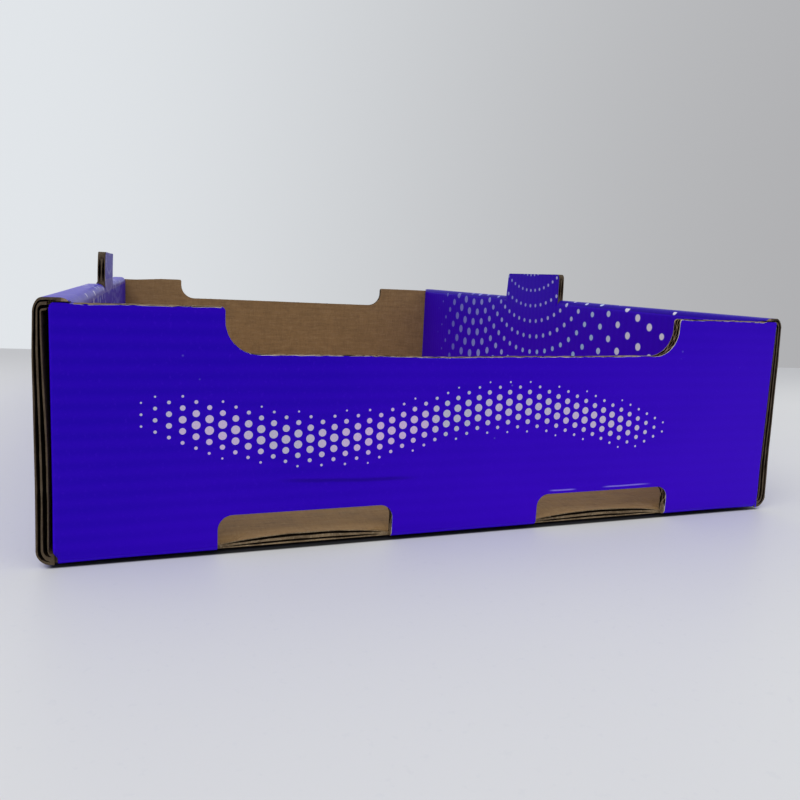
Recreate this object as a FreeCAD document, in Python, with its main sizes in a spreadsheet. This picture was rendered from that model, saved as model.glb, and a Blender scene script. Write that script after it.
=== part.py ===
import FreeCAD, Part
import Sketcher
import PartDesign
import os

# One-piece folded tray of double-wall corrugated board.
# X is across (short side), Y is along (long side), Z is up. The origin is the
# middle of the underside. The front wall is on the -Y side.
#
# The blank is one sheet. Its folds, in the order they are made:
#   - the front and the rear wall fold up from the base, and each has a
#     corner flap at both ends that folds back along the side;
#   - each side panel folds up outside the corner flaps, runs over the top as a
#     narrow strip and comes down again inside them as the inner panel, whose
#     two lock tabs stand in slots in the base;
#   - a stacking tab, cut out of the strip and the outer panel, stays upright in
#     the plane of each inner panel. The tray above takes it in the slot
#     between its lock tabs.

doc = FreeCAD.newDocument("tray_box")

# ---------------------------------------------------------------- sizes (mm)
SIZES = [
    ("overall_length", "400", "front face to rear face"),
    ("overall_width", "300", "outer face to outer face of the side walls"),
    ("wall_top", "84", "top of the front and rear walls"),
    ("side_top", "85.6", "top of the side walls"),
    ("board", "3.8", "thickness of the double-wall board"),
    ("side_fold", "5", "outer radius of the fold from base to side panel"),
    ("front_fold", "2.4", "outer radius of the fold from base to front wall"),
    ("top_fold", "4.6", "outer radius of the outer top fold"),
    ("inner_top_fold", "3.6", "outer radius of the inner top fold"),
    ("crease", "1", "inner radius of the folds"),
    ("end_setback", "0.8", "raw ends of the side panels behind the front face"),
    ("base_setback", "2.8", "raw edge of the base in a vent behind the front face"),
    ("corner_slit", "1.1", "slit between the front fold and the base's corner"),
    ("end_fold", "145", "half the width of the front wall, fold to fold"),
    ("corner_fold", "1.1", "outer radius of the fold from wall to corner flap"),
    ("flap_board", "3", "corner flap, pressed between two panels"),
    ("flap_length", "72", "corner flap, from the front face"),
    ("flap_top", "81.4", "top of the corner flap, under the strip"),
    ("layer_gap", "0.2", "air between layers that lie on each other"),
    ("inner_face", "138", "half the clear width between the inner panels"),
    ("end_gap", "0.3", "air between the inner panel and the front wall"),
    ("lip", "1.2", "crushed end of the strip over the front wall"),
    ("recess_half", "92", "half the width of the recess in the wall's top"),
    ("recess_depth", "16", "depth of that recess"),
    ("recess_radius", "11.5", "its lower corners"),
    ("recess_lip", "1.6", "its upper corners"),
    ("vent_near", "30.5", "vent, end nearer the middle"),
    ("vent_far", "93.7", "vent, other end"),
    ("vent_top", "12.8", "top of the vent above the underside"),
    ("vent_radius", "5", "upper corners of the vent"),
    ("corner_clip_x", "1.5", "clipped lower corner of the wall, across"),
    ("corner_clip_foot", "2.6", "height where that clip starts to slant"),
    ("corner_clip_z", "4.4", "clipped lower corner of the wall, up"),
    ("top_clip", "1.2", "clipped upper corner of the wall"),
    ("tab_half", "35", "half the width of the stacking tab"),
    ("tab_top", "102.6", "top of the stacking tab"),
    ("tab_radius", "2.5", "its upper corners"),
    ("cutout_floor", "79.4", "floor of the cutout that the tab leaves"),
    ("cutout_radius", "2", "lower corners of that cutout"),
    ("slot_half", "36.5", "half the length of the stacking slot"),
    ("slot_ease", "0.6", "air on each side of a tab in the stacking slot"),
    ("notch_top", "23", "top of the notch over the stacking slot"),
    ("lock_near", "74", "lock slot, end nearer the middle"),
    ("lock_far", "122", "lock slot, other end"),
    ("lock_ease", "1", "air at each end of a lock tab"),
    ("lock_side", "0.3", "air on each side of a lock tab"),
    ("lock_foot", "0.4", "underside of a lock tab above the underside of the base"),
]
sheet = doc.addObject("Spreadsheet::Sheet", "sizes")
for row, (alias, value, note) in enumerate(SIZES, start=1):
    sheet.set("A%d" % row, alias)
    sheet.set("B%d" % row, value)
    sheet.set("C%d" % row, note)
    sheet.setAlias("B%d" % row, alias)
doc.recompute()


def expr(text):
    """Put the sheet's name before every alias in a formula."""
    out, word = [], ""
    names = set(a for a, _, _ in SIZES)
    for ch in text + " ":
        if ch.isalnum() or ch == "_":
            word += ch
        else:
            out.append("sizes." + word if word in names else word)
            word = ""
            out.append(ch)
    return "".join(out).strip()


def value(text):
    """The number that a formula of aliases has now."""
    names = sorted((a for a, _, _ in SIZES), key=len, reverse=True)
    total, sign, word = 0.0, 1.0, ""
    for part in text.replace("-", " - ").replace("+", " + ").split():
        if part == "-":
            sign = -1.0
        elif part == "+":
            sign = 1.0
        else:
            factor = 1.0
            for piece in part.split("*"):
                if "/" in piece:
                    top, bottom = piece.split("/")
                    factor *= (sheet.get(top) if top in names else float(top)) / float(bottom)
                else:
                    factor *= sheet.get(piece) if piece in names else float(piece)
            total += sign * factor
            sign = 1.0
    return total


# --------------------------------------------------------------------- body
body = doc.addObject("PartDesign::Body", "tray")
body.Label = "tray"
doc.recompute()
PLANES = {f.Role: f for f in body.Origin.OriginFeatures}


def outline(name, plane, loops, height=None):
    """A sketch of closed polygons whose corners are pinned to the sheet.

    loops holds lists of corners, each corner a pair of formulas. height is a
    formula for how far the sketch stands off its plane, along the normal.
    """
    sk = body.newObject("Sketcher::SketchObject", name)
    sk.AttachmentSupport = [(PLANES[plane], "")]
    sk.MapMode = "FlatFace"
    first = 0
    for corners in loops:
        pts = [FreeCAD.Vector(value(a), value(b), 0) for a, b in corners]
        n = len(pts)
        for i in range(n):
            sk.addGeometry(Part.LineSegment(pts[i], pts[(i + 1) % n]), False)
        for i in range(n):
            sk.addConstraint(Sketcher.Constraint(
                "Coincident", first + i, 2, first + (i + 1) % n, 1))
        for i, (a, b) in enumerate(corners):
            for axis, text, number in (("DistanceX", a, pts[i].x), ("DistanceY", b, pts[i].y)):
                if text == "0":
                    sk.addConstraint(Sketcher.Constraint("PointOnObject", first + i, 1, -1))
                    continue
                k = sk.addConstraint(Sketcher.Constraint(axis, -1, 1, first + i, 1, number))
                tag = "p%d%s" % (first + i, axis[-1].lower())
                sk.renameConstraint(k, tag)
                sk.setExpression("Constraints." + tag, expr(text))
        first += n
    if height is not None:
        sk.setExpression("AttachmentOffset.Base.z", expr(height))
    doc.recompute()
    return sk


def rectangle(x, y):
    (x0, x1), (y0, y1) = x, y
    return [(x0, y0), (x1, y0), (x1, y1), (x0, y1)]


def grow(kind, name, sketch, length, midplane=False, backwards=False):
    """Pad or pocket a sketch along its normal, or against it."""
    before = body.Tip.Shape.Volume if body.Tip else 0.0
    f = body.newObject("PartDesign::" + kind, name)
    f.Profile = sketch
    f.setExpression("Length", expr(length))
    f.Midplane = midplane
    f.Reversed = backwards
    doc.recompute()
    change = f.Shape.Volume - before
    if (change <= 0) == (kind == "Pad"):
        raise RuntimeError("%s changed the volume by %.1f" % (name, change))
    return f


def fillet(name, alias, want, *tests):
    """Round the edges that pass a test, with a radius of the sheet."""
    base = body.Tip
    found = []
    for i, e in enumerate(base.Shape.Edges, start=1):
        m = e.valueAt((e.FirstParameter + e.LastParameter) / 2.0)
        if any(test(m, e) for test in tests):
            found.append("Edge%d" % i)
    if len(found) != want:
        raise RuntimeError("%s found %d edges, not %d" % (name, len(found), want))
    f = body.newObject("PartDesign::Fillet", name)
    f.Base = (base, found)
    f.setExpression("Radius", expr(alias))
    doc.recompute()
    return f


def both_sides(inner, outer):
    """The same range across the tray on its left and on its right."""
    def minus(text):
        return "-" + text.replace(" + ", " # ").replace(" - ", " + ").replace(" # ", " - ")
    return [(minus(outer), minus(inner)), (inner, outer)]


W2 = sheet.overall_width / 2.0
L2 = sheet.overall_length / 2.0
B = sheet.board
TOP = sheet.side_top
IN = sheet.inner_face
F = sheet.end_fold
RH = sheet.recess_half
RZ = sheet.wall_top - sheet.recess_depth
ENDS = [("-overall_length/2 - 1", "-overall_length/2"), ("overall_length/2", "overall_length/2 + 1")]

# Section across the tray: base, both outer panels, top strips and inner panels
# as one folded strip of board.
section = outline("section", "XZ_Plane", [[
    ("-overall_width/2", "0"),
    ("overall_width/2", "0"),
    ("overall_width/2", "side_top"),
    ("inner_face", "side_top"),
    ("inner_face", "board + layer_gap"),
    ("inner_face + board", "board + layer_gap"),
    ("inner_face + board", "side_top - board"),
    ("overall_width/2 - board", "side_top - board"),
    ("overall_width/2 - board", "board"),
    ("-overall_width/2 + board", "board"),
    ("-overall_width/2 + board", "side_top - board"),
    ("-inner_face - board", "side_top - board"),
    ("-inner_face - board", "board + layer_gap"),
    ("-inner_face", "board + layer_gap"),
    ("-inner_face", "side_top"),
    ("-overall_width/2", "side_top"),
]])
grow("Pad", "folded_section", section, "overall_length - 2*end_setback", midplane=True)


def along_y(x, z):
    return lambda m, e: (abs(abs(m.x) - x) < 0.01 and abs(m.z - z) < 0.01 and e.Length > 20)


fillet("side_folds", "side_fold", 2, along_y(W2, 0.0))
fillet("top_folds", "top_fold", 2, along_y(W2, TOP))
fillet("inner_top_folds", "inner_top_fold", 2, along_y(IN, TOP))
fillet("creases", "crease", 6,
       along_y(W2 - B, B), along_y(W2 - B, TOP - B), along_y(IN + B, TOP - B))

# Room for the front and rear walls between the side walls. The strip's end
# stays over the wall as a thin crushed lip. The base ends behind the fold.
room = outline("wall_room_outline", "XY_Plane", [
    rectangle(("-end_fold - 0.5", "end_fold + 0.5"),
              ("-overall_length/2 - 1", "-overall_length/2 + board + end_gap")),
    rectangle(("-end_fold - 0.5", "end_fold + 0.5"),
              ("overall_length/2 - board - end_gap", "overall_length/2 + 1")),
], height="board")
grow("Pocket", "wall_room", room, "side_top - lip - board", backwards=True)
edge = outline("base_edge_outline", "XY_Plane", [
    rectangle(("-end_fold + corner_clip_x - corner_slit", "end_fold - corner_clip_x + corner_slit"),
              ("-overall_length/2 - 1", "-overall_length/2 + base_setback")),
    rectangle(("-end_fold + corner_clip_x - corner_slit", "end_fold - corner_clip_x + corner_slit"),
              ("overall_length/2 - base_setback", "overall_length/2 + 1")),
])
grow("Pocket", "base_edge", edge, "board + layer_gap", backwards=True)

# Front and rear walls, each with its recess, two vents and clipped corners.
WALL = [
    ("-end_fold + corner_clip_x", "0"),
    ("-vent_far", "0"), ("-vent_far", "vent_top"),
    ("-vent_near", "vent_top"), ("-vent_near", "0"),
    ("vent_near", "0"), ("vent_near", "vent_top"),
    ("vent_far", "vent_top"), ("vent_far", "0"),
    ("end_fold - corner_clip_x", "0"),
    ("end_fold - corner_clip_x", "corner_clip_foot"),
    ("end_fold", "corner_clip_z"),
    ("end_fold", "wall_top - top_clip"),
    ("end_fold - top_clip", "wall_top"),
    ("recess_half", "wall_top"),
    ("recess_half", "wall_top - recess_depth"),
    ("-recess_half", "wall_top - recess_depth"),
    ("-recess_half", "wall_top"),
    ("-end_fold + top_clip", "wall_top"),
    ("-end_fold", "wall_top - top_clip"),
    ("-end_fold", "corner_clip_z"),
    ("-end_fold + corner_clip_x", "corner_clip_foot"),
]
# the normal of this sketch plane points to -Y
front = outline("front_wall_outline", "XZ_Plane", [WALL], height="overall_length/2 - board")
grow("Pad", "front_wall", front, "board")
rear = outline("rear_wall_outline", "XZ_Plane", [WALL], height="-overall_length/2 + board")
grow("Pad", "rear_wall", rear, "board", backwards=True)


def through_wall(x, z):
    """Edges across the front or rear wall's thickness at (x, z)."""
    return lambda m, e: (abs(abs(m.x) - x) < 0.01 and abs(m.z - z) < 0.01
                         and L2 - B - 0.01 < abs(m.y) < L2 + 0.01 and e.Length < B + 0.1)


fillet("recess_lower_corners", "recess_radius", 4, through_wall(RH, RZ))
fillet("recess_upper_corners", "recess_lip", 4, through_wall(RH, sheet.wall_top))
fillet("vent_corners", "vent_radius", 8,
       through_wall(sheet.vent_near, sheet.vent_top), through_wall(sheet.vent_far, sheet.vent_top))

# Corner flaps, folded back between the outer and the inner panel.
flaps = outline("corner_flap_outline", "XY_Plane", [
    rectangle(x, y) for x in both_sides("end_fold - flap_board", "end_fold")
    for y in (("-overall_length/2 + board/2", "-overall_length/2 + flap_length"),
              ("overall_length/2 - flap_length", "overall_length/2 - board/2"))
], height="board + layer_gap")
grow("Pad", "corner_flaps", flaps, "flap_top - board - layer_gap")
fillet("front_folds", "front_fold", 6,
       lambda m, e: abs(abs(m.y) - L2) < 0.01 and abs(m.z) < 0.01 and e.Length > 10)
fillet("corner_folds", "corner_fold", 4,
       lambda m, e: abs(abs(m.y) - L2) < 0.01 and abs(abs(m.x) - F) < 0.01 and e.Length > 40)

# What the stacking tabs leave open in the strip and the outer panel, and the
# tabs themselves.
cutouts = outline("tab_cutout_outline", "XY_Plane", [
    rectangle(x, ("-tab_half", "tab_half"))
    for x in both_sides("inner_face + board", "overall_width/2 + 1")
], height="cutout_floor")
grow("Pocket", "tab_cutouts", cutouts, "side_top - cutout_floor + 1", backwards=True)
tabs = outline("stacking_tab_outline", "XY_Plane", [
    rectangle(x, ("-tab_half", "tab_half"))
    for x in both_sides("inner_face", "inner_face + board")
], height="cutout_floor - 10")
grow("Pad", "stacking_tabs", tabs, "tab_top - cutout_floor + 10")
fillet("tab_corners", "tab_radius", 4,
       lambda m, e: abs(m.z - sheet.tab_top) < 0.01 and abs(abs(m.y) - sheet.tab_half) < 0.01)
fillet("cutout_corners", "cutout_radius", 4,
       lambda m, e: (abs(m.z - sheet.cutout_floor) < 0.01
                     and abs(abs(m.y) - sheet.tab_half) < 0.01 and abs(m.x) > W2 - B - 0.01))

# Stacking slots in the base, with a notch in the inner panel over each, then
# the lock slots and the lock tabs that stand in them.
slots = outline("stacking_slot_outline", "XY_Plane", [
    rectangle(x, ("-slot_half", "slot_half"))
    for x in both_sides("inner_face - slot_ease", "inner_face + board + slot_ease")
])
grow("Pocket", "stacking_slots", slots, "notch_top", backwards=True)
LOCKS = (("-lock_far", "-lock_near"), ("lock_near", "lock_far"))
holes = outline("lock_slot_outline", "XY_Plane", [
    rectangle(x, y) for x in both_sides("inner_face - lock_side", "inner_face + board + lock_side")
    for y in LOCKS
])
grow("Pocket", "lock_slots", holes, "board + layer_gap/2", backwards=True)
feet = outline("lock_tab_outline", "XY_Plane", [
    rectangle(x, (lo + " + lock_ease", hi + " - lock_ease"))
    for x in both_sides("inner_face", "inner_face + board") for lo, hi in LOCKS
], height="lock_foot")
grow("Pad", "lock_tabs", feet, "board + layer_gap + 1 - lock_foot")

# ------------------------------------------------------------------- checks
for obj in doc.Objects:
    if any(word in obj.State for word in ("Invalid", "Error")):
        raise RuntimeError("%s failed: %s" % (obj.Name, obj.State))
shape = body.Shape
if shape.isNull() or not shape.isValid() or len(shape.Solids) != 1:
    raise RuntimeError("the tray is not one valid solid")
box = shape.BoundBox
print("tray: %.1f x %.1f x %.1f mm, %.0f mm3, %d faces" % (
    box.XLength, box.YLength, box.ZLength, shape.Volume, len(shape.Faces)))

# -------------------------------------------------------------------- files
os.makedirs("parts", exist_ok=True)
shape.exportStep("parts/tray.step")
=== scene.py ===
import bpy
import bmesh
import math
import random
import numpy as np
from mathutils import Vector, Matrix, noise


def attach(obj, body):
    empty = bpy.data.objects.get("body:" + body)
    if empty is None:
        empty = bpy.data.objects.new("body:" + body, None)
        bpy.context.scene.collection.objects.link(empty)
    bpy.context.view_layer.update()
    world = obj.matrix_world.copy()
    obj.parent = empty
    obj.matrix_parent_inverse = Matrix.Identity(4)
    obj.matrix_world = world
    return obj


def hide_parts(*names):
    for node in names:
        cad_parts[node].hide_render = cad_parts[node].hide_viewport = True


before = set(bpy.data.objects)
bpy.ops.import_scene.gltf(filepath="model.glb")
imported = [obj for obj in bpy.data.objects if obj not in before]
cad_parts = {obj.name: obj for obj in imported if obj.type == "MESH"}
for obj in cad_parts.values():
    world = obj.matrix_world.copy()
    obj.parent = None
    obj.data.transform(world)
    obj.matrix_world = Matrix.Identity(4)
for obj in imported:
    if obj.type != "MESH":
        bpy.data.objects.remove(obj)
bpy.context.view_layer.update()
scene = bpy.context.scene
rng = random.Random(7)

# ---------------------------------------------------------------- camera

def make_camera():
    data = bpy.data.cameras.new("camera")
    data.sensor_fit = "HORIZONTAL"
    data.sensor_width = 36.0
    data.lens = 678.40 / 800 * 36.0
    data.shift_x = (400 - 379.33) / 800
    data.shift_y = (369.64 - 400) / 800
    data.clip_start, data.clip_end = 0.01, 50
    cam = bpy.data.objects.new("camera", data)
    scene.collection.objects.link(cam)
    right = Vector((0.949447, -0.310758, 0.044497))
    up = Vector((0.000729, 0.143924, 0.989588))
    back = -Vector((0.313927, 0.939529, -0.136875))
    m = Matrix.Identity(4)
    for i in range(3):
        m[i][0], m[i][1], m[i][2] = right[i], up[i], back[i]
    m[0][3], m[1][3], m[2][3] = -0.113957, -0.426813, 0.096445
    cam.matrix_world = m
    scene.camera = cam
    return cam


make_camera()

# ---------------------------------------------------------------- board geometry, in millimetres

BOARD = 3.8
PITCH = 4.8
LINER = 0.29
CENTRE = 0.24
MEDIUM = 0.18
FLUTE = (BOARD - 2 * LINER - CENTRE) / 2
LAYERS = ((LINER, LINER + FLUTE), (LINER + FLUTE + CENTRE, BOARD - LINER))


def smooth(x, a, b):
    """0 before a, 1 after b, smooth between; works on arrays and with a > b."""
    t = np.clip((np.asarray(x, float) - a) / (b - a), 0, 1)
    return t * t * (3 - 2 * t)


class Cutters:
    """Closed prisms that are all taken out of the sheet in one go."""

    def __init__(self):
        self.v, self.f = [], []

    def loft(self, rings):
        n, base = len(rings[0]), len(self.v)
        for ring in rings:
            self.v.extend(ring)
        for s in range(len(rings) - 1):
            for i in range(n):
                a, b = base + s * n + i, base + s * n + (i + 1) % n
                self.f.append((a, b, b + n, a + n))
        self.f.append(tuple(base + i for i in reversed(range(n))))
        self.f.append(tuple(base + (len(rings) - 1) * n + i for i in range(n)))

    def cell(self, place, u0, layer, flat_high, d0, d1, squeeze=1.0):
        """One open flute: place(u, w, d) gives its point; u across the flutes, w through the board, d along them."""
        w0, w1 = LAYERS[layer]
        amp = (FLUTE - MEDIUM) / 2
        half = 0.43 * PITCH
        u0 += rng.uniform(-0.12, 0.12)
        k = rng.uniform(0.86, 1.0) * squeeze
        ring = [(-half, 0.0)]
        for i in range(7):
            t = -0.86 + 1.72 * i / 6
            ring.append((t * half, k * amp * (1 + math.cos(2 * math.pi * t * half / PITCH))))
        ring.append((half, 0.0))
        pts = []
        for u, h in ring:
            pts.append((u0 + u, w1 - h if flat_high else w0 + h))
        lean = rng.uniform(-0.25, 0.25)
        self.loft([[place(u, w, d0) for u, w in pts], [place(u + lean, w, d1) for u, w in pts]])

    def groove(self, stations, offset, half, depth, taper=3, wobble=0.09, phase=0.0, cover=0.45):
        """A groove along an edge that is cut along the flutes. A station is (point, outward, across)."""
        rings, n = [], len(stations)
        for i, (p, out, across) in enumerate(stations):
            e = min(1.0, (min(i, n - 1 - i) + 0.35) / taper)
            s = phase + i * 0.37
            c = offset(i / (n - 1)) if callable(offset) else offset
            h = half(i / (n - 1)) if callable(half) else half
            d = depth(i / (n - 1)) if callable(depth) else depth
            c += wobble * noise.noise(Vector((s, 3.1, phase)))
            h = max(0.06, h * e * (1 + 0.35 * noise.noise(Vector((s * 1.7, 9.2, phase)))))
            d = d * (0.55 + 0.45 * e) * (1 + 0.25 * noise.noise(Vector((s, 17.0, phase))))
            p, out, across = Vector(p), Vector(out), Vector(across)
            rings.append([
                tuple(p + across * (c - h) + out * cover),
                tuple(p + across * (c + h) + out * cover),
                tuple(p + across * (c + h * 0.7) - out * d),
                tuple(p + across * (c - h * 0.7) - out * d),
            ])
        self.loft(rings)


cuts = Cutters()
MID = (LAYERS[0][0] + LAYERS[0][1]) / 2 - BOARD / 2  # the first layer's middle, from the board's middle

# end walls: open flutes at the recess ends and the vent ends
for side in (-1, 1):
    def wall(u, w, d, side=side):
        return (d, side * (200 - w), u)

    for sx in (-1, 1):
        shift = rng.uniform(-0.25, 0.35)
        for layer in (0, 1):
            for centre, flat in ((70.6, False), (75.4, False), (80.2, False), (73.0, True), (77.8, True), (82.4, True), (68.4, True)):
                z0, z1 = centre + shift - 2.1, centre + shift + 2.1
                edge0 = 80.5 + math.sqrt(max(0, 11.5 ** 2 - max(0, 79.5 - z0) ** 2))
                flat_high = (not flat) if layer else flat
                cuts.cell(wall, centre + shift, layer, flat_high, sx * (edge0 - 4.5), sx * (104 + rng.uniform(0, 3)))
            for x_end, towards in ((30.5, -1), (93.7, 1)):
                phase = rng.uniform(-0.3, 0.2)
                for centre, flat in ((5.7, False), (10.4, False), (8.05, True)):
                    flat_high = (not flat) if layer else flat
                    cuts.cell(wall, centre + phase, layer, flat_high,
                              sx * (x_end - towards * 7), sx * (x_end + towards * 12))

# tab tops and cutout floors: open flutes from above
for side in (-1, 1):
    def inner(u, w, d, side=side):
        return (side * (138 + w), u, d)

    def outer(u, w, d, side=side):
        return (side * (150 - w), u, d)

    for k in range(-6, 7):
        for layer in (0, 1):
            for half_step in (0, 1):
                y = PITCH * (k + 0.5 * half_step) + 0.4
                if abs(y) > 31.5:
                    continue
                flat_high = bool(half_step) != bool(layer)
                cuts.cell(inner, y, layer, flat_high, 103.4, 93 + rng.uniform(-2, 2))
                cuts.cell(outer, y, layer, flat_high, 80.2, 68 + rng.uniform(-2, 2))


def section_path(side, y, out_y, z_from, step=3.4):
    """The outer panel, its top bend and the strip, along the board's middle, for a cut at one y."""
    pts = []
    if z_from < 5:
        for i in range(5):
            a = math.radians(-78 + 78 * i / 4)
            pts.append((145 + 3.1 * math.cos(a), 5 + 3.1 * math.sin(a), a))
        z_from = 5
    n = int((80.6 - z_from) / step)
    for i in range(1, n):
        pts.append((148.1, z_from + (80.6 - z_from) * i / n, 0.0))
    for i in range(6):
        a = math.radians(90 * i / 5)
        pts.append((145.4 + 2.7 * math.cos(a), 81.0 + 2.7 * math.sin(a), a))
    pts.append((144.0, 83.7, math.pi / 2))
    pts.append((142.6, 83.7, math.pi / 2))
    stations = []
    for x, z, a in pts:
        across = (-side * math.cos(a), 0, -math.sin(a))
        stations.append(((side * x, y, z), (0, out_y, 0), across))
    return stations


for side in (-1, 1):
    for end in (-1, 1):
        st = section_path(side, end * 199.2, end, 0)
        ph = rng.uniform(0, 40)
        cuts.groove(st, MID + 0.02, lambda t: 0.52 - 0.14 * smooth(t, 0.78, 0.9), 4.2, phase=ph)
        cuts.groove(st, lambda t: -MID - 0.02 + 0.07 * math.sin(9 * t), lambda t: 0.60 + 0.05 * math.sin(7 * t), 5.0, phase=ph + 50)
        # the sides of the tab cutout
        st = section_path(side, end * 35, -end, 80.3)[:]
        cuts.groove(st, MID, 0.52, 2.6, phase=ph + 9)
        cuts.groove(st, -MID, 0.52, 2.6, phase=ph + 19)
        # the tab's upright edges
        st = []
        for i in range(9):
            st.append(((side * 139.9, end * 35, 86.6 + 12.6 * i / 8), (0, end, 0), (side, 0, 0)))
        cuts.groove(st, MID, 0.60, 3.4, phase=ph + 3)
        cuts.groove(st, -MID, 0.60, 3.4, phase=ph + 23)

for end in (-1, 1):
    def along_x(x0, x1, z, out_z, step=2.6, y=198.1):
        n = max(6, int(abs(x1 - x0) / step))
        return [((x0 + (x1 - x0) * i / n, end * y, z), (0, 0, out_z), (0, -end, 0)) for i in range(n + 1)]

    for sx in (-1, 1):
        ph = rng.uniform(0, 40)
        st = along_x(sx * 94.6, sx * 143.2, 84.0, 1)
        cuts.groove(st, MID, 0.36, 0.9, phase=ph)
        cuts.groove(st, -MID, 0.36, 1.1, phase=ph + 30)
        # the base's raw edge, seen in the vents
        n = 22
        st = [((sx * (32.6 + 59 * i / n), end * 197.2, 1.9), (0, end, 0), (0, 0, 1)) for i in range(n + 1)]
        cuts.groove(st, MID - 0.05, 0.40, 3.0, phase=ph + 60, cover=0.3, wobble=0.16)
        cuts.groove(st, lambda t: -MID + 0.12, 0.50, 4.2, phase=ph + 90, cover=0.3, wobble=0.14)
        st = along_x(sx * 36.5, sx * 87.7, 12.8, -1)
        cuts.groove(st, MID, 0.36, 0.9, phase=ph + 11)
        cuts.groove(st, -MID, 0.36, 1.1, phase=ph + 41)
    ph = rng.uniform(0, 40)
    st = along_x(-77.5, 77.5, 68.0, 1)
    cuts.groove(st, MID, 0.38, 0.9, phase=ph)
    cuts.groove(st, -MID, 0.38, 1.1, phase=ph + 30)


def mesh_object(name, verts, faces):
    me = bpy.data.meshes.new(name)
    me.from_pydata([Vector(v) for v in verts], [], faces)
    me.validate()
    ob = bpy.data.objects.new(name, me)
    scene.collection.objects.link(ob)
    return ob


# the sheet starts as the CAD node's own shape
bm = bmesh.new()
bm.from_mesh(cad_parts["tray"].data)
for v in bm.verts:
    v.co = v.co * 1000
bmesh.ops.remove_doubles(bm, verts=bm.verts, dist=0.002)
bmesh.ops.dissolve_limit(bm, angle_limit=0.0006, verts=bm.verts, edges=bm.edges)
me = bpy.data.meshes.new("tray_sheet")
bm.to_mesh(me)
bm.free()
sheet = bpy.data.objects.new("tray_sheet", me)
scene.collection.objects.link(sheet)

printed = bpy.data.materials.new("printed_board")
kraft = bpy.data.materials.new("kraft_liner")
edge = bpy.data.materials.new("cut_board")
hollow = bpy.data.materials.new("flute_inside")
top_fold = bpy.data.materials.new("printed_fold")
me.materials.append(printed)
me.materials.append(kraft)
me.materials.append(edge)
me.materials.append(hollow)
me.materials.append(top_fold)

cutter = mesh_object("flutes", cuts.v, cuts.f)
cutter.data.materials.append(printed)
cutter.data.materials.append(kraft)
cutter.data.materials.append(edge)
cutter.data.materials.append(hollow)
cutter.data.materials.append(top_fold)
bm = bmesh.new()
bm.from_mesh(cutter.data)
bmesh.ops.recalc_face_normals(bm, faces=bm.faces)
for f in bm.faces:
    f.material_index = 3
bm.to_mesh(cutter.data)
bm.free()
mod = sheet.modifiers.new("cut", "BOOLEAN")
mod.operation = "DIFFERENCE"
mod.solver = "EXACT"
mod.object = cutter
mod.use_self = True
mod.material_mode = "INDEX"
dg = bpy.context.evaluated_depsgraph_get()
cut_mesh = bpy.data.meshes.new_from_object(sheet.evaluated_get(dg))
sheet.modifiers.clear()
bpy.data.objects.remove(cutter)

# ---------------------------------------------------------------- grid, faces by material, and the bent shape

bm = bmesh.new()
bm.from_mesh(cut_mesh)
bmesh.ops.remove_doubles(bm, verts=bm.verts, dist=0.002)


def bisect(co, no, keep=None):
    faces = bm.faces[:] if keep is None else [f for f in bm.faces if keep(f)]
    edges = set(e for f in faces for e in f.edges)
    verts = set(v for f in faces for v in f.verts)
    bmesh.ops.bisect_plane(bm, geom=list(verts) + list(edges) + faces, dist=0.0005, plane_co=co, plane_no=no)


def end_wall(f):
    return abs(f.calc_center_median().y) > 195.5


for i in range(-14, 15):
    bisect((i * 10.3, 0, 0), (1, 0, 0))
for i in range(-65, 66):
    if i % 1 == 0:
        bisect((i * 2.23 + 0.4, 0, 0), (1, 0, 0), end_wall)
for i in range(-36, 37):
    bisect((0, i * 5.37 + 0.3, 0), (0, 1, 0))
for y in (-189, 189):
    bisect((0, y, 0), (0, 1, 0))
for x in (-141, 141):
    bisect((x, 0, 0), (1, 0, 0))
for z in [5.3, 8.9, 15, 21, 27, 33, 39, 45, 51, 57, 63, 67.4, 71.3, 76.1, 80.9, 83.1, 88, 91, 95, 99]:
    bisect((0, 0, z), (0, 0, 1))

bm.normal_update()
for f in bm.faces:
    if f.material_index == 3:
        continue
    n, c = f.normal, f.calc_center_median()
    sx, sy = (1 if c.x > 0 else -1), (1 if c.y > 0 else -1)
    nx, ny, nz = n.x * sx, n.y * sy, n.z
    ax, ay, z = abs(c.x), abs(c.y), c.z
    m = 2
    if abs(ny) < 0.3:
        if ax > 145.3 and nx > 0.05 and z > 0.02:
            m = 0  # outer panel and the outside of its folds
        elif ax > 137.99 and nz > 0.5 and z > 81.9 and z < 85.7:
            m = 0  # strip
        elif 137.9 < ax < 141.5 and nx < -0.05 and z > 4 and not (z < 23.2 and nz < -0.9):
            m = 0  # inner panel and tab
        elif ax > 144.9 and nx > 0.3 and z > 4:
            m = 0  # corner flap outside
        elif nz > 0.5 and z < 5.2:
            m = 1  # floor
        elif nz < -0.95 and z < 0.05:
            m = 1  # underside
        elif nx < -0.3 and (ax > 141.9 and ax < 146.9):
            m = 1  # outer panel inside, flap inside
        elif nx > 0.3 and 141.6 < ax < 142.1:
            m = 1  # inner panel back
        elif nz < -0.5 and z > 81 and z < 85:
            m = 1  # strip underneath
    elif abs(nx) < 0.3:
        if ny > 0.05 and ay > 198.4 and ax < 145.1 and z > 0.02:
            m = 0
        elif ny < -0.3 and 195.95 < ay < 198:
            m = 1
    else:
        if ny > 0.05 and nx > 0.05 and ax > 143 and ay > 198:
            m = 0  # corner folds
    if m == 2 and nz < -0.95 and z < 0.05:
        m = 1
    if m == 1 and nz < -0.95 and z < 0.05 and (ay > 189 or ax > 141):
        m = 0
    if ax > 137.9 and 199.1 < ay < 199.35 and abs(ny) > 0.9 and z > 81.2:
        m = 2  # the rolled top's raw ends
    if m == 0 and z > 81.0 and c.x < -137.9 and z < 85.8 and abs(n.y) < 0.5:
        m = 4  # the rolled top, rubbed glossy
    f.material_index = m

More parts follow.
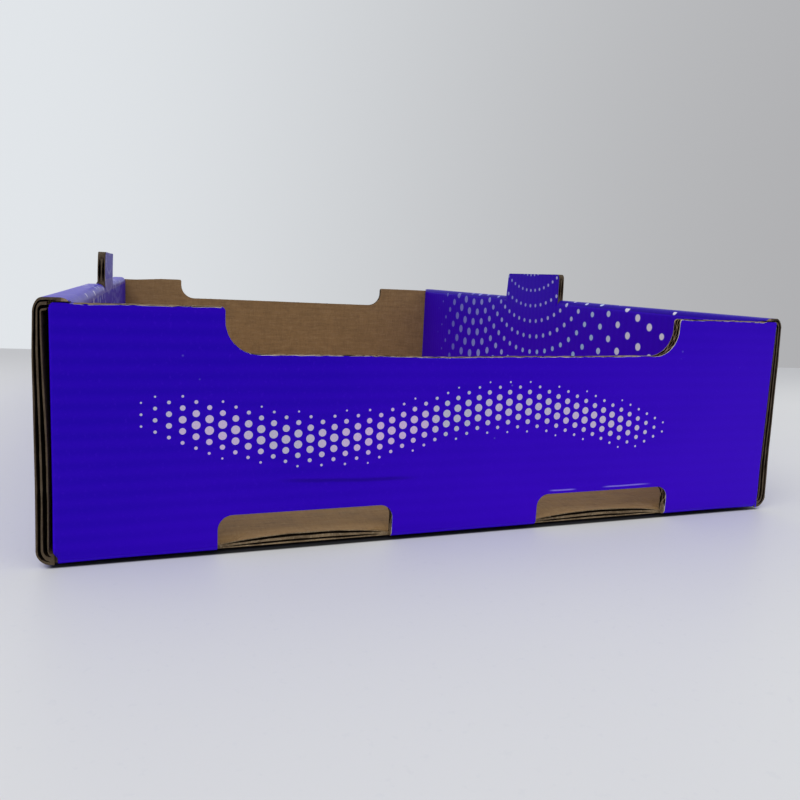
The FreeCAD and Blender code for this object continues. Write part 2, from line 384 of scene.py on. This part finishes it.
verts = list(bm.verts)
co = np.array([v.co[:] for v in verts])
x, y, z = co[:, 0].copy(), co[:, 1].copy(), co[:, 2].copy()
ax, ay = np.abs(x), np.abs(y)
sgx, sgy = np.sign(x), np.sign(y)


def wave(a, b, scale, seed):
    return np.array([noise.noise(Vector((p / scale, q / scale, seed))) for p, q in zip(a, b)])


dx, dy, dz = np.zeros_like(x), np.zeros_like(x), np.zeros_like(x)

# the walls aren't perfectly flat; everything moves inwards only, so the size stays
low = 0.5 + 0.5 * wave(y, z, 75.0, 1.5)
dx -= sgx * 0.45 * np.clip(low, 0, 1) * smooth(ax, 141.9, 146.2) * smooth(z, 3, 25)
low = 0.5 + 0.5 * wave(x + 300 * (y > 0), z, 80.0, 8.5)
dy -= sgy * 0.55 * np.clip(low, 0, 1) * smooth(ay, 184, 196) * smooth(z, 3, 25)
dz += 0.35 * wave(x, y, 60.0, 4.2) * (z > 3) * (z < 4.3) * smooth(137 - ax, 0, 20) * smooth(190 - ay, 0, 20) * 0.9

# inner panels bow outwards in the middle, with the strip's inner side
bow = 1.25 * np.cos(np.clip(y / 198, -1, 1) * math.pi / 2) ** 2 * smooth(z, 6, 60)
share = np.where(ax < 137.5, 0, np.clip((150 - ax) / 8.2, 0, 1))
dx += sgx * bow * share

# the right wall leans in at the top, most of all near the front
front = 0.35 + 0.65 * smooth(y, 150, -150)
lean = 2.3 * (np.clip(z / 85, 0, 1) ** 1.6) * front
front_wall = (y < -195.95) & (x < 145.4)
dx -= np.where((x > 141.8) & ~front_wall, lean * np.clip((x - 141.8) / 8.2, 0, 1), 0)
dx -= np.where(front_wall, 0.5 * smooth(z, 25, 75) * smooth(x, 108, 145), 0)
lip = (x > 137.9) & (y < -195.95) & (z > 84.2)
# the left outer panel is thinner near its top, and rounds off early
thin = (x < -145.9) & (z > 4)
dx += np.where(thin, -0.9 * smooth(z, 35, 75) * np.clip((x + 150) / 3.8, 0, 1), 0)
dx += np.where((x < -141) & (z > 60), 0.5 * smooth(z, 66, 84) * smooth(-x, 146, 150), 0)

# front recess: the cut isn't quite straight
table_x = [-145, -95, -80, -41, -15, 10, 55, 75, 95, 145]
table_z = [0, 0, 0.1, -0.1, -0.6, -0.2, 0.1, 0.5, 0, 0]
on_front = (y < -195.95) & (ax < 100)
dz += np.where(on_front, np.interp(x, table_x, table_z) * smooth(z, 30, 67), 0)
on_rear = (y > 195.95) & (ax < 130)
dz += np.where(on_rear, 1.2 * smooth(-x, -92, 92) * smooth(z, 20, 67) * smooth(130 - ax, 0, 25), 0)

# the base's raw edges in the vents are crushed towards their ends, and the floor dips at the fold
t = np.clip((ax - 30.5) / 63.2, 0, 1)
lens = 0.30 + 0.70 * np.sin(math.pi * t) ** 0.7
lens = np.where((ax < 24) | (ax > 100), 0.86, lens)
lens = np.where((ax >= 24) & (ax <= 30.5), 0.86 + (0.30 - 0.86) * smooth(ax, 24, 30.5), lens)
lens = np.where((ax >= 93.7) & (ax <= 100), 0.30 + (0.86 - 0.30) * smooth(ax, 93.7, 100), lens)
near = smooth(ay, 190.5, 196.9) * (ay < 197.9)
near = np.where(ax > 137, 0, near)
dz += np.where(z < 4.3, -z * (1 - lens) * near, 0)
lift = 0.25 * smooth(ay, 150, 197) * smooth(np.where(z > 60, 141, 146) - ax, 0, 22)
dz += np.where((z < 4.3) | (ay > 195.95), lift * (1 - 0.3 * smooth(z, 0, 84)), 0)

# stacking tabs: the far side tapers
tab = (ax > 137.5) & (ax < 142.3) & (z > 86)
dy += np.where(tab & (y > 0), -2.4 * (np.clip(z - 86, 0, 17) / 16.6) * (y / 35), 0)
dx += np.where(tab, -sgx * 0.5 * ((z - 86) / 16.6) ** 2, 0)

# die-cut edges are never clean
rough = np.array([noise.noise(Vector((p * 1.9, q * 1.9, r * 1.9))) for p, q, r in zip(x, y, z)])
rough2 = np.array([noise.noise(Vector((p * 1.3 + 50, q * 2.1, r * 1.3))) for p, q, r in zip(x, y, z)])
top = (np.abs(z - 84) < 0.03) & (ay > 195.9) & (ax < 138)
dz += np.where(top, -0.05 + 0.16 * rough - (0.34 + 0.14 * rough2) * smooth(ay, 197.2, 199.9), 0)
rim = (ay > 195.9) & (z > 67.9) & (z < 83.95) & (ax < 92.4) & (ax > 74)
dx += np.where(rim, 0.13 * rough, 0)
dz += np.where(rim, 0.13 * rough2, 0)
rim = (np.abs(z - 68) < 0.03) & (ay > 195.9) & (ax < 80)
dz += np.where(rim, 0.20 * rough, 0)
tab_top = (np.abs(z - 102.6) < 0.03)
dz += np.where(tab_top, -0.12 + 0.12 * rough, 0)
raw = (np.abs(ay - 199.2) < 0.03) & (ax > 141)
dy += np.where(raw, sgy * (-0.12 + 0.18 * rough), 0)

x, y, z = x + dx, y + dy, z + dz
for v, p, q, r in zip(verts, x, y, z):
    v.co = (p / 1000, q / 1000, r / 1000)

bm.normal_update()
bm.to_mesh(me)
bm.free()
bpy.data.meshes.remove(cut_mesh)
me.validate()
for p in me.polygons:
    p.use_smooth = True
me.set_sharp_from_angle(angle=math.radians(38))

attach(sheet, "root")
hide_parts("tray")
print("sheet", len(me.vertices), "vertices", sum(len(p.vertices) - 2 for p in me.polygons), "triangles")

# ---------------------------------------------------------------- materials

class Graph:
    def __init__(self, material):
        material.use_nodes = True
        self.t = material.node_tree
        self.t.nodes.clear()
        self.out = self.t.nodes.new("ShaderNodeOutputMaterial")

    def node(self, kind, inputs=None, **props):
        n = self.t.nodes.new(kind)
        for k, v in props.items():
            setattr(n, k, v)
        for k, v in (inputs or {}).items():
            self.set(n.inputs[k], v)
        return n

    def set(self, socket, value):
        if isinstance(value, bpy.types.NodeSocket):
            self.t.links.new(value, socket)
        elif hasattr(value, "outputs"):
            self.t.links.new(value.outputs[0], socket)
        else:
            socket.default_value = value

    def math(self, op, a, b=0.0, c=0.0, clamp=False):
        n = self.node("ShaderNodeMath", {0: a, 1: b, 2: c}, operation=op)
        n.use_clamp = clamp
        return n.outputs[0]

    def add(self, a, b): return self.math("ADD", a, b)
    def sub(self, a, b): return self.math("SUBTRACT", a, b)
    def mul(self, a, b): return self.math("MULTIPLY", a, b)
    def div(self, a, b): return self.math("DIVIDE", a, b)
    def floor(self, a): return self.math("FLOOR", a)
    def abs(self, a): return self.math("ABSOLUTE", a)
    def gt(self, a, b): return self.math("GREATER_THAN", a, b)
    def lt(self, a, b): return self.math("LESS_THAN", a, b)

    def step(self, value, a, b, lo=0.0, hi=1.0):
        n = self.node("ShaderNodeMapRange", {"Value": value, "From Min": a, "From Max": b, "To Min": lo, "To Max": hi},
                      interpolation_type="SMOOTHSTEP")
        return n.outputs["Result"]

    def linear(self, value, a, b, lo=0.0, hi=1.0):
        n = self.node("ShaderNodeMapRange", {"Value": value, "From Min": a, "From Max": b, "To Min": lo, "To Max": hi})
        return n.outputs["Result"]

    def mix(self, f, a, b, blend="MIX"):
        n = self.node("ShaderNodeMix", data_type="RGBA", blend_type=blend)
        self.set(n.inputs[0], f)
        self.set(n.inputs[6], a)
        self.set(n.inputs[7], b)
        return n.outputs[2]

    def noise(self, vector, scale, detail=2.0, rough=0.5):
        n = self.node("ShaderNodeTexNoise", {"Vector": vector, "Scale": scale, "Detail": detail, "Roughness": rough})
        return n.outputs["Fac"]


def srgb(r, g, b):
    def f(c):
        c /= 255
        return c / 12.92 if c <= 0.04045 else ((c + 0.055) / 1.055) ** 2.4
    return (f(r), f(g), f(b), 1.0)


def position(g):
    """x, y, z in millimetres, the vector in metres, and the face's own direction."""
    tc = g.node("ShaderNodeTexCoord")
    s = g.node("ShaderNodeSeparateXYZ", {0: tc.outputs["Object"]})
    xyz = [g.mul(s.outputs[i], 1000.0) for i in range(3)]
    n = g.node("ShaderNodeSeparateXYZ", {0: tc.outputs["Normal"]})
    nrm = [g.abs(n.outputs[i]) for i in range(3)]
    return xyz, tc.outputs["Object"], nrm, n.outputs[2]


def stretched(g, vector, sx, sy, sz):
    return g.node("ShaderNodeMapping", {"Vector": vector, "Scale": (sx, sy, sz)}).outputs[0]


def washboard(g, xyz, nrm):
    """The flutes telegraph through the liner: bands along z on the end walls, along y elsewhere."""
    u = g.mix(g.gt(nrm[1], 0.6), g.node("ShaderNodeCombineColor", {0: xyz[1], 1: 0.0, 2: 0.0}),
              g.node("ShaderNodeCombineColor", {0: xyz[2], 1: 0.0, 2: 0.0}))
    u = g.node("ShaderNodeSeparateColor", {0: u}).outputs[0]
    return g.math("SINE", g.mul(u, 2 * math.pi / PITCH))


def dots_inside(g, xyz, up):
    """Rings of round dots about a point above the tab, larger outwards, fading towards both ends."""
    ax_ = g.abs(xyz[0])
    over = g.mul(g.math("MAXIMUM", g.sub(ax_, 139.5), 0.0), g.gt(up, 0.6))
    v = g.sub(152.0, g.add(xyz[2], over))
    r = g.math("SQRT", g.add(g.mul(xyz[1], xyz[1]), g.mul(v, v)))
    gap = 10.8
    ring = g.floor(g.add(g.div(g.sub(r, 61.0), gap), 0.5))
    ring_r = g.add(g.mul(ring, gap), 61.0)
    drift = g.mul(ring, 0.12)
    ang = g.math("ARCTAN2", xyz[1], v)
    da = 0.0935
    pos = g.add(g.div(ang, da), drift)
    near_dot = g.floor(g.add(pos, 0.5))
    along = g.mul(g.mul(g.sub(pos, near_dot), da), ring_r)
    apart = g.sub(r, ring_r)
    dist = g.math("SQRT", g.add(g.mul(along, along), g.mul(apart, apart)))
    yc = g.mul(g.math("SINE", g.mul(g.sub(near_dot, drift), da)), ring_r)
    size = g.linear(ring_r, 50.0, 140.0, 0.85, 2.05)
    size = g.mul(size, g.step(yc, 10.0, 90.0, 1.0, 1.35))
    size = g.mul(size, g.mul(g.step(yc, -160.0, -128.0), g.step(yc, 172.0, 112.0)))
    size = g.mul(size, g.step(yc, -20.0, 90.0, 1.0, 1.14))
    mask = g.step(g.sub(size, dist), -0.34, 0.30)
    mask = g.mul(mask, g.gt(size, 0.28))
    strength = g.step(yc, 150.0, 60.0, 0.35, 1.0)
    on_strip = g.mul(g.gt(over, 0.01), g.gt(g.abs(xyz[1]), 96.0))
    mask = g.mul(g.mul(mask, strength), g.sub(1.0, on_strip))
    return mask, r, yc


def dots_front(g, xyz, out):
    """A plain wavy band of round dots across the front."""
    col = g.div(xyz[0], 4.3)
    ci = g.floor(col)
    cx = g.mul(g.add(ci, 0.5), 4.3)
    stag = g.mul(g.math("FLOORED_MODULO", ci, 2.0), 0.5)
    row = g.add(g.div(xyz[2], 3.9), stag)
    ri = g.floor(row)
    cz = g.mul(g.sub(g.add(ri, 0.5), stag), 3.9)
    mid = g.add(43.5, g.mul(g.math("SINE", g.mul(g.add(cx, 20.0), 2 * math.pi / 148.0)), 5.2))
    away = g.div(g.sub(cz, mid), 8.4)
    size = g.mul(g.math("EXPONENT", g.mul(g.mul(away, away), -1.0)), 1.50)
    size = g.mul(size, g.mul(g.step(cx, -131.0, -96.0), g.step(cx, 104.0, 62.0)))
    ddx, ddz = g.sub(xyz[0], cx), g.sub(xyz[2], cz)
    dist = g.math("SQRT", g.add(g.mul(ddx, ddx), g.mul(ddz, ddz)))
    mask = g.step(g.sub(size, dist), -0.07, 0.10)
    mask = g.mul(mask, g.gt(size, 0.33))
    return g.mul(mask, out)


def printed_material(material, level):
    g = Graph(material)
    xyz, vec, nrm, up = position(g)
    ax_, ay_ = g.abs(xyz[0]), g.abs(xyz[1])
    cloud = g.noise(vec, 11.0, 3.0, 0.55)
    fine = g.noise(vec, 900.0, 3.0, 0.6)
    # painted reflection and light: the blue is lighter towards the right and towards the bottom, with a cloudy random
    # ink tone over it
    across = g.add(g.linear(xyz[0], -150.0, 120.0, 0.0, 0.8), g.linear(xyz[2], 84.0, 10.0, -0.25, 0.25))
    drift = g.math("ADD", across, g.mul(g.sub(cloud, 0.5), 0.9), 0.0, True)
    base = g.mix(drift, srgb(37, 0, 179), srgb(59, 0, 203))
    # ink lies a little thinner on the flutes' crests
    band = washboard(g, xyz, nrm)
    base = g.mix(g.mul(g.add(g.mul(band, 0.5), 0.5), 0.14), base, srgb(66, 4, 218))
    base = g.mix(g.mul(g.step(fine, 0.56, 0.74), 0.14), base, srgb(84, 24, 222))
    # folds: a painted highlight along the creases, where the ink is also stretched and worn
    fold = g.math("MAXIMUM", g.mul(g.step(ax_, 144.2, 144.9), g.mul(g.lt(ax_, 146.0), g.gt(ay_, 198.6))),
                  g.mul(g.step(xyz[2], 2.2, 0.8), g.gt(ay_, 197.0)))
    base = g.mix(g.mul(fold, 0.55), base, srgb(62, 4, 246))
    # the rolled tops are worn along their crest, the outer sides a little rubbed
    worn = g.mul(g.mul(g.step(xyz[2], 83.6, 85.2), g.gt(ax_, 145.0)), g.step(g.noise(vec, 70.0, 4.0, 0.65), 0.42, 0.66))
    base = g.mix(g.mul(worn, 0.40), base, srgb(104, 74, 224))
    rub = g.noise(stretched(g, vec, 14.0, 12.0, 150.0), 1.0, 3.0, 0.55)
    rub = g.mul(g.mul(g.step(rub, 0.58, 0.72), g.gt(nrm[0], 0.8)), g.gt(ax_, 145.0))
    base = g.mix(g.mul(rub, 0.22), base, srgb(86, 44, 216))
    # over the vents: a painted highlight along a crease crack above the right vent, and a thin darker line over the
    # left one
    wander = g.noise(stretched(g, vec, 30.0, 30.0, 4.0), 1.0, 2.0, 0.5)
    line2 = g.add(14.5, g.mul(g.sub(wander, 0.5), 1.2))
    d2 = g.abs(g.sub(xyz[2], line2))
    part_a = g.mul(g.step(xyz[0], 35.0, 38.5), g.step(xyz[0], 49.0, 45.0))
    part_b = g.mul(g.step(xyz[0], 60.0, 65.0), g.step(xyz[0], 86.0, 78.0))
    crease_highlight = g.mul(g.step(d2, 0.42, 0.12), g.math("MAXIMUM", part_a, part_b))
    line1 = g.sub(24.0, g.mul(g.add(xyz[0], 66.0), 0.035))
    d1 = g.abs(g.sub(xyz[2], g.add(line1, g.mul(g.sub(wander, 0.5), 2.0))))
    streak1 = g.mul(g.step(d1, 1.1, 0.1), g.mul(g.step(xyz[0], -76.0, -62.0), g.step(xyz[0], -18.0, -34.0)))
    frontside = g.mul(g.lt(xyz[1], -198.0), g.gt(nrm[1], 0.8))
    # painted highlight: the light lavender line along the crease crack
    base = g.mix(g.mul(g.mul(crease_highlight, frontside), 0.75), base, srgb(150, 130, 240))
    base = g.mix(g.mul(g.mul(streak1, frontside), 0.5), base, srgb(26, 2, 120))
    # painted shade: the right side's upward faces at the top are darker
    right_top_shade = g.mul(g.mul(g.gt(xyz[0], 137.0), g.gt(up, 0.35)), g.gt(xyz[2], 80.0))
    base = g.mix(g.mul(right_top_shade, 0.75), base, srgb(34, 6, 140))
    # print
    inside = g.mul(g.lt(ax_, 148.0), g.mul(g.math("MAXIMUM", g.gt(nrm[0], 0.7), g.gt(up, 0.7)), g.lt(ay_, 195.8)))
    in_panel = g.mul(inside, g.math("MAXIMUM", g.lt(ax_, 141.0), g.gt(up, 0.7)))
    mask, r, yc = dots_inside(g, xyz, up)
    mask = g.mul(mask, in_panel)
    pearl = g.noise(vec, 16.0, 1.0, 0.4)
    near = g.step(yc, 30.0, -120.0)
    pale = g.mix(near, srgb(146, 154, 228), srgb(234, 230, 248))
    low = g.mul(g.step(r, 84.0, 112.0), g.mul(g.step(yc, 30.0, -20.0), g.step(yc, -110.0, -70.0)))
    pale = g.mix(g.mul(low, 0.6), pale, srgb(124, 186, 236))
    pale = g.mix(g.mul(g.step(pearl, 0.45, 0.65), 0.25), pale, srgb(204, 218, 246))
    base = g.mix(g.mul(mask, 0.92), base, pale)
    mask_f = dots_front(g, xyz, frontside)
    tint = g.noise(vec, 21.0, 1.0, 0.5)
    pearl_f = g.mix(g.step(tint, 0.35, 0.65), srgb(196, 196, 208), srgb(214, 190, 226))
    pearl_f = g.mix(g.mul(g.step(xyz[0], 20.0, 90.0), 0.5), pearl_f, srgb(222, 208, 226))
    base = g.mix(g.mul(mask_f, 0.94), base, pearl_f)
    # dust and torn fibres
    dust = g.node("ShaderNodeTexVoronoi", {"Vector": vec, "Scale": 190.0, "Randomness": 1.0})
    pick = g.node("ShaderNodeSeparateColor", {0: dust.outputs["Color"]})
    speck = g.mul(g.step(dust.outputs["Distance"], 0.11, 0.04), g.gt(pick.outputs[0], 0.84))
    speck = g.mul(speck, g.step(g.noise(vec, 24.0, 2.0, 0.5), 0.46, 0.60))
    base = g.mix(g.mul(speck, 0.38), base, srgb(150, 140, 226))
    edge_noise = g.noise(vec, 560.0, 3.0, 0.7)
    coarse = g.noise(vec, 90.0, 2.0, 0.6)
    drop = g.sub(g.add(84.0, g.mul(g.step(ax_, 141.0, 119.0), 0.52)), xyz[2])
    top_gap = g.mul(g.mul(g.step(drop, 0.74, 0.50), g.gt(drop, -0.6)), g.mul(g.gt(ay_, 198.0), g.lt(ax_, 136.0)))
    sag = g.mul(g.math("SINE", g.add(g.mul(xyz[0], 0.034), 0.75)), 0.40)
    rec_z = g.sub(68.5, g.mul(sag, g.lt(ax_, 84.0)))
    rec_gap = g.mul(g.mul(g.step(g.abs(g.sub(xyz[2], rec_z)), 0.55, 0.35), g.lt(ax_, 80.0)), g.gt(ay_, 198.0))
    cut_edge = g.math("MAXIMUM", top_gap, g.mul(rec_gap, 0.0))
    torn = g.mul(cut_edge, g.mul(g.step(edge_noise, 0.46, 0.56), g.step(coarse, 0.42, 0.54)))
    base = g.mix(torn, base, srgb(206, 198, 186))
    # height
    grain = g.noise(vec, 2400.0, 2.0, 0.6)
    soft = g.noise(vec, 55.0, 3.0, 0.5)
    height = g.add(g.mul(band, 0.020), g.add(g.mul(soft, 0.10), g.mul(grain, 0.006)))
    bump = g.node("ShaderNodeBump", {"Strength": 0.55, "Distance": 0.001, "Height": height})
    rough = g.add(0.30, g.add(g.mul(g.noise(vec, 160.0, 3.0, 0.6), 0.14), g.mul(g.math("MAXIMUM", mask, mask_f), -0.04)))
    p = g.node("ShaderNodeBsdfPrincipled", {"Base Color": base, "Roughness": rough, "Normal": bump,
                                            "IOR": 1.5, "Specular IOR Level": level})
    g.set(g.out.inputs[0], p.outputs[0])


def fibre_noise(g, vec, nrm):
    a = g.noise(stretched(g, vec, 120.0, 900.0, 900.0), 1.0, 3.0, 0.6)
    b = g.noise(stretched(g, vec, 900.0, 160.0, 160.0), 1.0, 3.0, 0.6)
    return g.add(g.mul(a, 0.6), g.mul(b, 0.4))


def kraft_material():
    g = Graph(kraft)
    xyz, vec, nrm, up = position(g)
    band = washboard(g, xyz, nrm)
    fibre = fibre_noise(g, vec, nrm)
    mottle = g.noise(vec, 120.0, 4.0, 0.6)
    blot = g.noise(vec, 8.0, 2.0, 0.5)
    speck = g.noise(vec, 620.0, 2.0, 0.6)
    base = g.mix(g.step(mottle, 0.30, 0.72), srgb(140, 109, 69), srgb(153, 120, 77))
    base = g.mix(g.mul(g.step(blot, 0.35, 0.75), 0.22), base, srgb(128, 101, 67))
    base = g.mix(g.mul(g.step(speck, 0.60, 0.72), 0.30), base, srgb(112, 86, 56))
    base = g.mix(g.mul(g.step(speck, 0.40, 0.28), 0.25), base, srgb(178, 148, 106))
    # deep between the panels next to no light comes back out
    deep = g.mul(g.gt(g.abs(xyz[0]), 141.7), g.lt(xyz[2], 82.5))
    base = g.mix(g.mul(deep, 0.72), base, srgb(30, 22, 15))
    base = g.mix(g.mul(g.step(fibre, 0.50, 0.62), 0.26), base, srgb(174, 144, 104))
    base = g.mix(g.mul(g.step(fibre, 0.46, 0.36), 0.28), base, srgb(96, 73, 48))
    base = g.mix(g.mul(g.add(g.mul(band, 0.5), 0.5), 0.05), base, srgb(100, 78, 50))
    height = g.add(g.mul(band, 0.03), g.add(g.mul(fibre, 0.025), g.mul(mottle, 0.045)))
    bump = g.node("ShaderNodeBump", {"Strength": 0.6, "Distance": 0.001, "Height": height})
    rough = g.add(0.62, g.mul(mottle, 0.25))
    p = g.node("ShaderNodeBsdfPrincipled", {"Base Color": base, "Roughness": rough, "Normal": bump, "IOR": 1.45})
    g.set(g.out.inputs[0], p.outputs[0])


def edge_material():
    """Cut paper: liners and mediums in section; the printed liner is white-faced."""
    g = Graph(edge)
    xyz, vec, nrm, up = position(g)
    ax_, ay_ = g.abs(xyz[0]), g.abs(xyz[1])
    fibre = g.noise(vec, 1300.0, 4.0, 0.65)
    clump = g.noise(vec, 160.0, 3.0, 0.6)
    base = g.mix(g.step(clump, 0.35, 0.65), srgb(108, 89, 64), srgb(140, 119, 90))
    base = g.mix(g.mul(g.step(fibre, 0.50, 0.68), 0.42), base, srgb(186, 169, 140))
    base = g.mix(g.mul(g.step(fibre, 0.46, 0.30), 0.4), base, srgb(86, 68, 48))
    ragged = g.mul(g.sub(g.noise(vec, 420.0, 3.0, 0.7), 0.5), 0.9)
    wall_face = g.mul(g.step(g.add(ay_, ragged), 199.30, 199.50), g.lt(ax_, 144.0))
    tab_face = g.mul(g.step(g.sub(139.0, g.add(ax_, ragged)), 0.25, 0.45), g.mul(g.gt(xyz[2], 86.0), g.gt(ax_, 137.0)))
    white = g.math("MAXIMUM", wall_face, tab_face)
    base = g.mix(g.mul(white, 0.8), base, srgb(214, 206, 190))
    side_end = g.mul(g.gt(ax_, 141.2), g.gt(ay_, 198.0))
    tab_end = g.mul(g.gt(ax_, 137.0), g.mul(g.gt(xyz[2], 81.0), g.lt(ay_, 40.0)))
    base = g.mix(g.mul(g.math("MAXIMUM", side_end, tab_end), 0.78), base, srgb(60, 49, 37))
    bump = g.node("ShaderNodeBump", {"Strength": 0.8, "Distance": 0.001, "Height": g.mul(fibre, 0.12)})
    p = g.node("ShaderNodeBsdfPrincipled", {"Base Color": base, "Roughness": 0.85, "Normal": bump, "IOR": 1.4})
    g.set(g.out.inputs[0], p.outputs[0])


def hollow_material():
    """Inside the flutes no light comes back out."""
    g = Graph(hollow)
    xyz, vec, nrm, up = position(g)
    fibre = g.noise(vec, 700.0, 3.0, 0.6)
    base = g.mix(g.step(fibre, 0.35, 0.65), srgb(24, 17, 11), srgb(40, 30, 20))
    bump = g.node("ShaderNodeBump", {"Strength": 0.5, "Distance": 0.001, "Height": g.mul(fibre, 0.1)})
    p = g.node("ShaderNodeBsdfPrincipled", {"Base Color": base, "Roughness": 0.9, "Normal": bump, "IOR": 1.3, "Specular IOR Level": 0.2})
    g.set(g.out.inputs[0], p.outputs[0])


printed_material(printed, 0.05)
printed_material(top_fold, 0.45)
kraft_material()
edge_material()
hollow_material()

# ---------------------------------------------------------------- table, background and light

def make_table():
    table = bpy.data.materials.new("table")
    g = Graph(table)
    tc = g.node("ShaderNodeTexCoord")
    vec = tc.outputs["Object"]
    a = g.noise(vec, 3.2, 2.0, 0.5)
    b = g.noise(vec, 420.0, 2.0, 0.6)
    base = g.mix(g.step(a, 0.30, 0.70), srgb(213, 214, 216), srgb(217, 218, 219))
    base = g.mix(g.mul(g.step(b, 0.62, 0.74), 0.14), base, srgb(194, 197, 204))
    bump = g.node("ShaderNodeBump", {"Strength": 0.05, "Distance": 0.001, "Height": g.noise(vec, 26.0, 1.0, 0.4)})
    # the table ends along one straight back edge, and painted shade makes it a little darker there
    left, right_ = Vector((-0.276, 0.407)), Vector((0.707, 0.254))
    along = (right_ - left).normalized()
    towards = Vector((along.y, -along.x))
    s3 = g.node("ShaderNodeSeparateXYZ", {0: vec})
    d = g.add(g.mul(g.sub(s3.outputs[0], left.x), towards.x), g.mul(g.sub(s3.outputs[1], left.y), towards.y))
    base = g.mix(g.step(d, 0.30, 0.0), base, srgb(190, 191, 194))
    # painted contact shadow: the table is near black under the box's footprint
    painted_contact_shadow = g.mul(g.step(g.abs(s3.outputs[0]), 0.1480, 0.1450), g.step(g.abs(s3.outputs[1]), 0.1998, 0.1986))
    base = g.mix(g.mul(painted_contact_shadow, 0.96), base, srgb(12, 12, 13))
    p = g.node("ShaderNodeBsdfPrincipled", {"Base Color": base, "Roughness": 0.42, "Normal": bump, "IOR": 1.45,
                                            "Specular IOR Level": 0.3})
    g.set(g.out.inputs[0], p.outputs[0])
    far = left - along * 3.0
    pts = [far, far + along * 7.0, far + along * 7.0 + towards * 4.0, far + towards * 4.0]
    me_ = bpy.data.meshes.new("table_top")
    me_.from_pydata([(p.x, p.y, -0.0010) for p in reversed(pts)], [], [(0, 1, 2, 3)])
    me_.materials.append(table)
    ob = bpy.data.objects.new("table_top", me_)
    scene.collection.objects.link(ob)
    if me_.polygons[0].normal.z < 0:
        me_.flip_normals()
    return ob


def make_world():
    world = bpy.data.worlds.new("studio")
    scene.world = world
    world.use_nodes = True
    t = world.node_tree
    t.nodes.clear()
    out = t.nodes.new("ShaderNodeOutputWorld")
    tc = t.nodes.new("ShaderNodeTexCoord")
    sep = t.nodes.new("ShaderNodeSeparateXYZ")
    t.links.new(tc.outputs["Generated"], sep.inputs[0])
    # what the camera sees: a pale wall, darker to the right
    ramp_x = t.nodes.new("ShaderNodeMapRange")
    ramp_x.interpolation_type = "SMOOTHSTEP"
    for k, v in (("From Min", -0.25), ("From Max", 0.95), ("To Min", 0.0), ("To Max", 1.0)):
        ramp_x.inputs[k].default_value = v
    t.links.new(sep.outputs[0], ramp_x.inputs["Value"])
    wall = t.nodes.new("ShaderNodeMix")
    wall.data_type = "RGBA"
    t.links.new(ramp_x.outputs["Result"], wall.inputs[0])
    wall.inputs[6].default_value = srgb(226, 230, 234)
    wall.inputs[7].default_value = srgb(172, 172, 174)
    seen = t.nodes.new("ShaderNodeBackground")
    t.links.new(wall.outputs[2], seen.inputs[0])
    seen.inputs[1].default_value = 1.0
    # what lights the object: a soft room, brighter overhead and behind
    def remap(value, a0, a1, b0, b1):
        n = t.nodes.new("ShaderNodeMapRange")
        n.inputs["From Min"].default_value, n.inputs["From Max"].default_value = a0, a1
        for k, v in (("To Min", b0), ("To Max", b1)):
            if isinstance(v, float):
                n.inputs[k].default_value = v
            else:
                t.links.new(v, n.inputs[k])
        t.links.new(value, n.inputs["Value"])
        return n.outputs["Result"]

    low = remap(sep.outputs[1], -0.45, 0.25, 0.12, 0.62)
    high = remap(sep.outputs[1], -0.6, 0.6, 0.96, 0.72)
    power = remap(sep.outputs[2], 0.04, 0.42, low, high)
    room = t.nodes.new("ShaderNodeBackground")
    room.inputs[0].default_value = (0.97, 0.98, 1.0, 1.0)
    t.links.new(power, room.inputs[1])
    path = t.nodes.new("ShaderNodeLightPath")
    mixer = t.nodes.new("ShaderNodeMixShader")
    t.links.new(path.outputs["Is Camera Ray"], mixer.inputs[0])
    t.links.new(room.outputs[0], mixer.inputs[1])
    t.links.new(seen.outputs[0], mixer.inputs[2])
    t.links.new(mixer.outputs[0], out.inputs[0])


def area(name, location, target, size, power, colour=(1, 1, 1)):
    data = bpy.data.lights.new(name, "AREA")
    data.shape = "RECTANGLE"
    data.size, data.size_y = size
    data.energy = power
    data.color = colour
    ob = bpy.data.objects.new(name, data)
    scene.collection.objects.link(ob)
    ob.location = location
    ob.rotation_mode = "QUATERNION"
    ob.rotation_quaternion = (Vector(target) - Vector(location)).to_track_quat("-Z", "Y")
    return ob


make_table()
make_world()
area("overhead", (-1.0, -1.0, 2.1), (0, -0.1, 0), (1.8, 1.8), 20, (1.0, 0.99, 0.97))

scene.view_settings.view_transform = "Standard"
scene.view_settings.look = "None"
scene.view_settings.exposure = 0.0
scene.view_settings.gamma = 1.0
scene.cycles.use_denoising = True
scene.cycles.max_bounces = 8
scene.cycles.diffuse_bounces = 4
scene.cycles.glossy_bounces = 4
